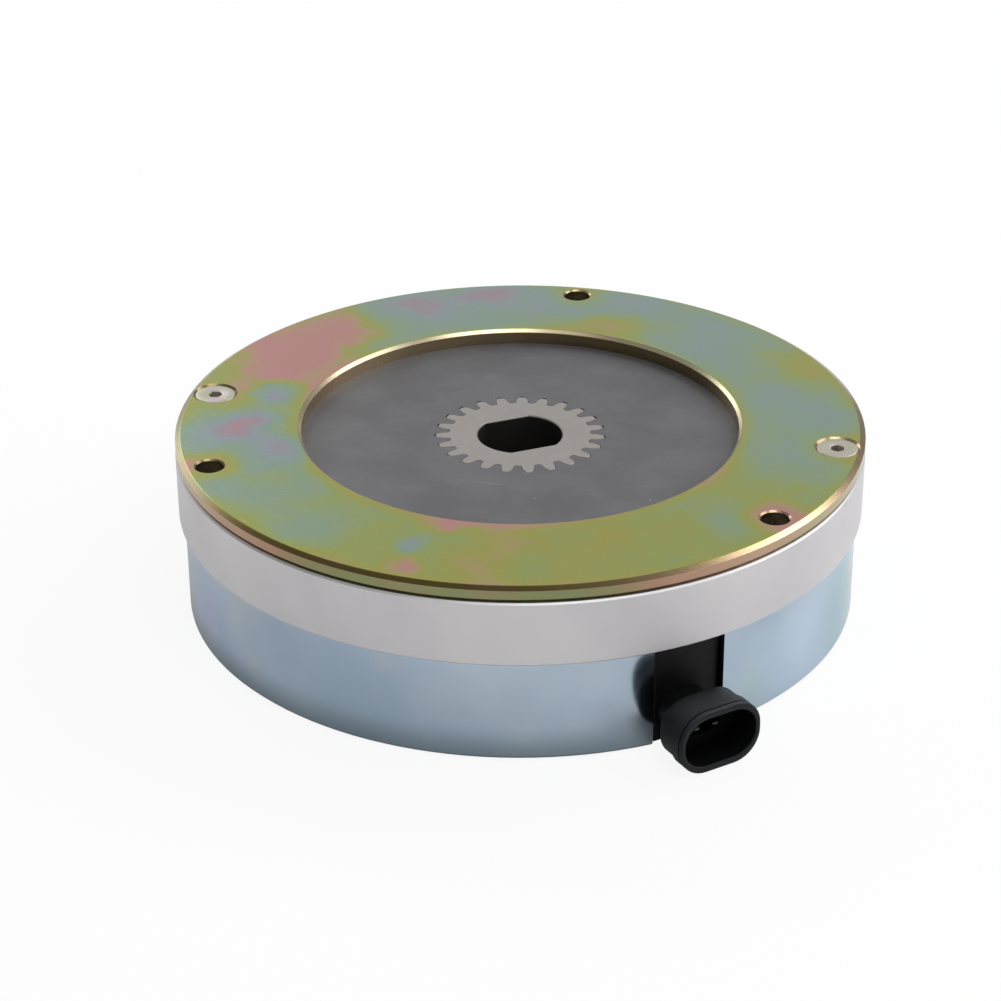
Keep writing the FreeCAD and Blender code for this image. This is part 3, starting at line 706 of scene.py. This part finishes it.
# %% One screw, and its copy
screw = column(64, shank_radius, shank_part, screw_end + point_chamfer)
screw.name = "screw_shape_1"
pull_end(screw, -1, [(screw_end, shank_radius - point_chamfer)])
pull_end(screw, 1, [
    (head_top - rim_height - cone_height, shank_radius), (head_top - rim_height, head_radius),
    (head_top, head_radius), (head_top, dish_radius), (head_top - dish_depth, dish_floor_radius)])
round_off(screw, rim_rounding, 4,
          lambda a, b: min(a.z, b.z) > head_top / 1000 - near and min(a.xy.length, b.xy.length) > 0.0045)

hexagon_radius = hexagon_across_flats / 2 / math.cos(math.radians(30.0))
combine(screw, column(6, hexagon_radius, cutter_length, head_top - hexagon_depth), "DIFFERENCE")
round_off(screw, hexagon_rounding, 2,
          lambda a, b: min(a.z, b.z) > head_top / 1000 - 0.0001 and max(a.xy.length, b.xy.length) < 0.0019)
bpy.ops.object.shade_smooth_by_angle(angle=math.radians(35.0))

other_screw = screw.copy()
other_screw.data = screw.data.copy()
other_screw.name = "screw_shape_2"
bpy.context.scene.collection.objects.link(other_screw)
for piece, place_on_x, key_turn in (
        (screw, screw_circle_radius, 8.0), (other_screw, -screw_circle_radius, -20.0)):
    turned_by = Matrix.Rotation(math.radians(key_turn), 4, "Z")
    piece.data.transform(Matrix.Translation(millimetres(place_on_x, 0.0, 0.0)) @ turned_by)
highest = max(corner.co.z for corner in screw.data.vertices) * 1000
print("screw", len(screw.data.polygons), "faces, top at", round(highest, 2), "mm")

# %% [markdown]
# The heads have been driven once: the zinc is bright at the rim and scuffed and slightly stained over the
# face.

# %% Screw zinc
screw_zinc = Finish("screw_plating")
place = screw_zinc.place()
scuff = screw_zinc.noise(place, 0.9, 4.0, 0.7)
blush = screw_zinc.noise(place, 0.35, 2.0, 0.5)
face = screw_zinc.mix(screw_zinc.fade(blush, 0.38, 0.62), tint(166, 166, 140), tint(172, 160, 160))
screw_zinc.surface({
    "Base Color": screw_zinc.mix(0.55 * scuff, face, tint(202, 198, 190)),
    "Metallic": 1.0,
    "Roughness": 0.34 + 0.22 * scuff,
    "Normal": screw_zinc.bump(scuff, 0.05, 0.5)})
dress(screw_zinc, "plate_screw_1", "plate_screw_2")
for piece, node in ((screw, "plate_screw_1"), (other_screw, "plate_screw_2")):
    piece.data.materials.append(screw_zinc.material)
    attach(piece, "housing")
    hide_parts(node)

# %% [markdown]
# ## The blades
# Two tinned blades stand in the socket. Their tin is painted much darker than tin, as painted shade from the
# deep socket, so only their tips catch a little light.

# %% Tinned blades
tin = Finish("tinned_blade")
place = tin.place()
dull = tin.noise(place, 1.2, 3.0, 0.6)
# Painted shade: the blades' tin is painted dark grey.
tin.surface({
    "Base Color": tin.mix(dull, tint(84, 83, 80), tint(112, 110, 106)),
    "Metallic": 1.0,
    "Roughness": 0.22 + 0.20 * dull,
    "Normal": tin.bump(dull, 0.01, 0.3)})
dress(tin, "connector_pin_1", "connector_pin_2")

# %% [markdown]
# ## The pieces inside
# Nobody sees these until the brake is opened, but each has a finish of its own. The armature is phosphated,
# which leaves fine dark crystals. Its pins are ground bright.

# %% Armature and pins
steel = Finish("phosphated_steel")
place = steel.place()
crystals = steel.noise(place, 1.6, 3.0, 0.7)
patina = steel.noise(place, 0.06, 3.0, 0.5)
steel.surface({
    "Base Color": steel.mix(patina, tint(96, 95, 94), tint(122, 120, 118)),
    "Metallic": 0.8,
    "Roughness": 0.42 + 0.16 * crystals,
    "Normal": steel.bump(crystals, 0.015, 0.4)})
dress(steel, "armature_plate")

ground = Finish("ground_steel")
place = ground.place()
x, y, z = ground.axes(place)
grind = ground.noise(ground.join(x * 0.3, y * 0.3, z * 6.0), 1.0, 2.0, 0.6)
ground.surface({
    "Base Color": ground.mix(grind, tint(186, 186, 186), tint(208, 208, 207)),
    "Metallic": 1.0,
    "Roughness": 0.18 + 0.14 * grind,
    "Normal": ground.bump(grind, 0.01, 0.4)})
dress(ground, "torque_pin_1", "torque_pin_2", "torque_pin_3")

# %% [markdown]
# ## The springs
# Spring wire is drawn, tempered in oil and left dark.

# %% Spring wire
spring_steel = Finish("oiled_spring_wire")
place = spring_steel.place()
oil = spring_steel.noise(place, 0.8, 3.0, 0.6)
spring_steel.surface({
    "Base Color": spring_steel.mix(oil, tint(72, 71, 72), tint(104, 103, 104)),
    "Metallic": 0.9,
    "Roughness": 0.26 + 0.16 * oil,
    "Normal": spring_steel.bump(oil, 0.01, 0.3)})

# %% [markdown]
# Each of the six springs is pressed 0.3 mm shorter when the coil pulls the armature down, which a rigid solid
# can't show. The springs are wound again here: a screw modifier sweeps a circle of wire round the axis, and
# its rings are then lifted to their heights, close together in the end turns. A curve with a round bevel
# would do as well, but the swept circle keeps every ring of the wire the same.

# %% Sizes of a spring
coil_radius, wire_radius, turns, closed_turns = 3.9, 0.8, 4.25, 0.75
steps, ring_points = 102, 12
spring_low, spring_high = [corner.z * 1000 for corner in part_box("brake_spring_1")]
ground_off = 0.4
first_height, last_height = spring_low + ground_off, spring_high - ground_off
closed_rise = 2 * wire_radius * closed_turns


def wire_height(turn):
    """Height of the wire's middle after so many turns: closed at both ends and even between them."""
    if turn < closed_turns:
        return first_height + closed_rise * turn / closed_turns
    if turn > turns - closed_turns:
        return last_height - closed_rise * (turns - turn) / closed_turns
    share = (turn - closed_turns) / (turns - 2 * closed_turns)
    return first_height + closed_rise + share * (last_height - first_height - 2 * closed_rise)


# %% Wind one spring
bpy.ops.object.select_all(action="DESELECT")
bpy.ops.mesh.primitive_circle_add(vertices=ring_points, radius=wire_radius / 1000,
                                  location=millimetres(coil_radius, 0.0, 0.0),
                                  rotation=(math.radians(90.0), 0.0, 0.0))
wound = bpy.context.object
wound.name = "wound_spring"
bpy.ops.object.transform_apply(location=True, rotation=True, scale=True)
sweep = wound.modifiers.new("sweep", "SCREW")
sweep.angle = 2 * math.pi * turns
sweep.screw_offset = 0.0
sweep.steps = sweep.render_steps = steps
sweep.use_merge_vertices = False
bpy.ops.object.modifier_apply(modifier="sweep")
for number, corner in enumerate(wound.data.vertices):
    corner.co.z += wire_height(turns * (number // ring_points) / steps) / 1000

# %% [markdown]
# The wire's two ends are closed with a face each. A bisect then cuts the spring flat at its seat and at its
# top, and fills the cuts. Its threshold is set far below a wire's width, or else it moves nearby corners onto
# the cut.

# %% Close it and grind it flat
start_edit(wound, "VERT")
bpy.ops.mesh.select_all(action="SELECT")
bpy.ops.mesh.fill_holes(sides=0)
for height, clear_below in ((spring_low, True), (spring_high, False)):
    bpy.ops.mesh.select_all(action="SELECT")
    bpy.ops.mesh.bisect(plane_co=millimetres(0.0, 0.0, height), plane_no=(0.0, 0.0, 1.0), use_fill=True,
                        clear_inner=clear_below, clear_outer=not clear_below, threshold=0.000001)
bpy.ops.mesh.select_all(action="SELECT")
bpy.ops.mesh.normals_make_consistent(inside=False)
bpy.ops.object.mode_set(mode="OBJECT")
bpy.ops.object.shade_smooth_by_angle(angle=math.radians(40.0))
wound.data.materials.append(spring_steel.material)
heights = [round(corner.co.z * 1000, 2) for corner in wound.data.vertices]
print("spring", len(wound.data.polygons), "faces, from", min(heights), "to", max(heights), "mm")

# %% Six copies
for number in range(1, 7):
    node = "brake_spring_" + str(number)
    low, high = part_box(node)
    spring = wound.copy()
    spring.name = "spring_shape_" + str(number)
    spring.data = wound.data.copy()
    bpy.context.scene.collection.objects.link(spring)
    spring.data.transform(Matrix.Translation(((low.x + high.x) / 2, (low.y + high.y) / 2, 0.0)))
    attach(spring, "housing")
    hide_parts(node)
    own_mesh(spring)
bpy.data.objects.remove(wound)
print("six springs wound")

# %% [markdown]
# ## The coil
# The winding's rows show as fine bands, which a wave texture draws by height. Its former is natural nylon,
# the resin that seals the groove is glossy and slightly wavy, and the leads have a dull black sleeve.

# %% Copper and its former
copper = Finish("enamelled_copper")
place = copper.place()
x, y, z = copper.axes(place)
radius = (x * x + y * y) ** 0.5
wave = {"Vector": copper.join(radius, 0.0, z), "Scale": 0.6, "Distortion": 0.4}
rows = copper.node("ShaderNodeTexWave", {"bands_direction": "Z"}, wave)
copper.surface({
    "Base Color": copper.mix(rows, tint(120, 58, 30), tint(186, 104, 58)),
    "Metallic": 0.7,
    "Roughness": 0.28 + 0.20 * (1 - rows),
    "Normal": copper.bump(rows, 0.25, 0.7)})
dress(copper, "coil_winding")

former = Finish("nylon_former")
place = former.place()
flow = former.noise(place, 0.1, 3.0, 0.5)
former.surface({
    "Base Color": former.mix(flow, tint(196, 188, 168), tint(214, 208, 190)),
    "Roughness": 0.40 + 0.12 * flow,
    "Normal": former.bump(former.noise(place, 2.5, 2.0), 0.02, 0.3)})
dress(former, "coil_bobbin")

# %% Resin and leads
resin = Finish("black_resin")
place = resin.place()
ripple = resin.noise(place, 0.12, 2.0, 0.4)
resin.surface({
    "Base Color": resin.mix(ripple, tint(22, 21, 22), tint(40, 38, 38)),
    "Roughness": 0.22 + 0.16 * resin.noise(place, 0.5, 3.0),
    "Normal": resin.bump(ripple, 0.6, 0.5)})
dress(resin, "coil_potting")

insulation = Finish("lead_insulation")
place = insulation.place()
scuffs = insulation.noise(place, 1.5, 3.0, 0.6)
insulation.surface({
    "Base Color": insulation.mix(scuffs, tint(38, 38, 40), tint(58, 57, 58)),
    "Roughness": 0.45 + 0.15 * scuffs,
    "Normal": insulation.bump(scuffs, 0.03, 0.3)})
dress(insulation, "lead_wire_1", "lead_wire_2")

# %% [markdown]
# ## Bench and lamps
# The bench is plain and white. The camera sees it almost as pure white, and a tenth of what it sees is the
# bench as it is lit, which keeps the soft shadow under the brake. Far away even that tenth fades out, so that
# no horizon shows. Mirrors and glass see only a little of the white, and the pot needs the lit bench in its
# wall.

# %% Bench
bpy.ops.object.select_all(action="DESELECT")
bpy.ops.mesh.primitive_plane_add(size=6.0, location=(0.0, 0.0, 0.0))
bench = bpy.context.object
bench.name = "bench"
bench.data.transform(Matrix.Translation((0.0, 0.0, -0.0002)))
bench_paint = Finish("white_bench")
bench_paint.surface({"Base Color": (0.90, 0.90, 0.90, 1.0), "Roughness": 0.9, "Specular IOR Level": 0.2})
glow = bench_paint.node("ShaderNodeEmission", None, {"Color": (1.0, 1.0, 1.0, 1.0), "Strength": 1.0})
seen = bench_paint.node("ShaderNodeLightPath", None, None, "Is Camera Ray")
mirrored = bench_paint.node("ShaderNodeLightPath", None, None, "Is Glossy Ray")
seen_through = bench_paint.node("ShaderNodeLightPath", None, None, "Is Transmission Ray")
away = bench_paint.fade(bench_paint.distance(bench_paint.place(), (0.0, 0.0, 0.0)), 350.0, 1300.0)
share = (0.90 + 0.10 * away) * seen + 0.05 * mirrored + 0.05 * seen_through
lit = Level(bench_paint, bench_paint.shader.outputs["BSDF"])
blend = bench_paint.node("ShaderNodeMixShader", None, {0: share, 1: lit, 2: glow})
output = next(node for node in bench_paint.tree.nodes if node.type == "OUTPUT_MATERIAL")
bench_paint.fill(output.inputs["Surface"], blend)
bench.data.materials.append(bench_paint.material)

# %% [markdown]
# The room round the brake is white to the camera and dim as a light, and the lamps do most of the lighting.
# Each lamp is a square softbox at a bearing and a height, counted from the brake as on a compass that starts
# at X.

# %% Room
room = bpy.data.worlds.new("room")
room.use_nodes = True
bpy.context.scene.world = room
room_tree = room.node_tree
background = room_tree.nodes["Background"]
background.inputs["Color"].default_value = (1.0, 1.0, 1.0, 1.0)
path = room_tree.nodes.new("ShaderNodeLightPath")
room_light = 0.26
strength = None
for ray, added in (
        ("Is Camera Ray", 1.0 - room_light), ("Is Glossy Ray", 0.04), ("Is Transmission Ray", 0.04)):
    term = room_tree.nodes.new("ShaderNodeMath")
    term.operation = "MULTIPLY_ADD"
    term.inputs[1].default_value = added
    term.inputs[2].default_value = room_light
    room_tree.links.new(path.outputs[ray], term.inputs[0])
    if strength is not None:
        room_tree.links.new(strength, term.inputs[2])
    strength = term.outputs[0]
room_tree.links.new(strength, background.inputs["Strength"])
print("room light", room_light)


# %% Lamps
def softbox(name, place, size, brightness):
    """A square lamp aimed at the brake. Brightness is what its white front would show."""
    lamp_data = bpy.data.lights.new(name, "AREA")
    lamp_data.size = size
    lamp_data.energy = brightness * math.pi * size * size
    lamp = bpy.data.objects.new(name, lamp_data)
    lamp.location = place
    lamp.rotation_euler = (Vector((0.0, 0.0, 0.02)) - Vector(place)).to_track_quat("-Z", "Y").to_euler()
    bpy.context.scene.collection.objects.link(lamp)


def toward(bearing, height, distance):
    """A place at a bearing and height in degrees, seen from the brake, and a distance in metres."""
    flat = distance * math.cos(math.radians(height))
    return (flat * math.cos(math.radians(bearing)), flat * math.sin(math.radians(bearing)),
            distance * math.sin(math.radians(height)))


softbox("front_right_high", toward(308.0, 58.0, 1.4), 0.8, 2.9)
softbox("front_left_high", toward(252.0, 60.0, 1.4), 0.6, 0.6)
softbox("right_side", toward(18.0, 30.0, 1.3), 1.0, 2.1)
softbox("right_back", toward(54.0, 47.0, 1.4), 0.55, 4.4)
softbox("left_back", toward(134.0, 27.0, 1.4), 0.7, 2.7)
softbox("back_panel", (-0.35, 1.5, 0.85), 1.8, 0.60)

# %% [markdown]
# ## Sizes, and the end
# Neither the finishes nor the pieces made again change a size.

# %% Finish
view = bpy.context.scene.view_settings
view.view_transform = "Standard"
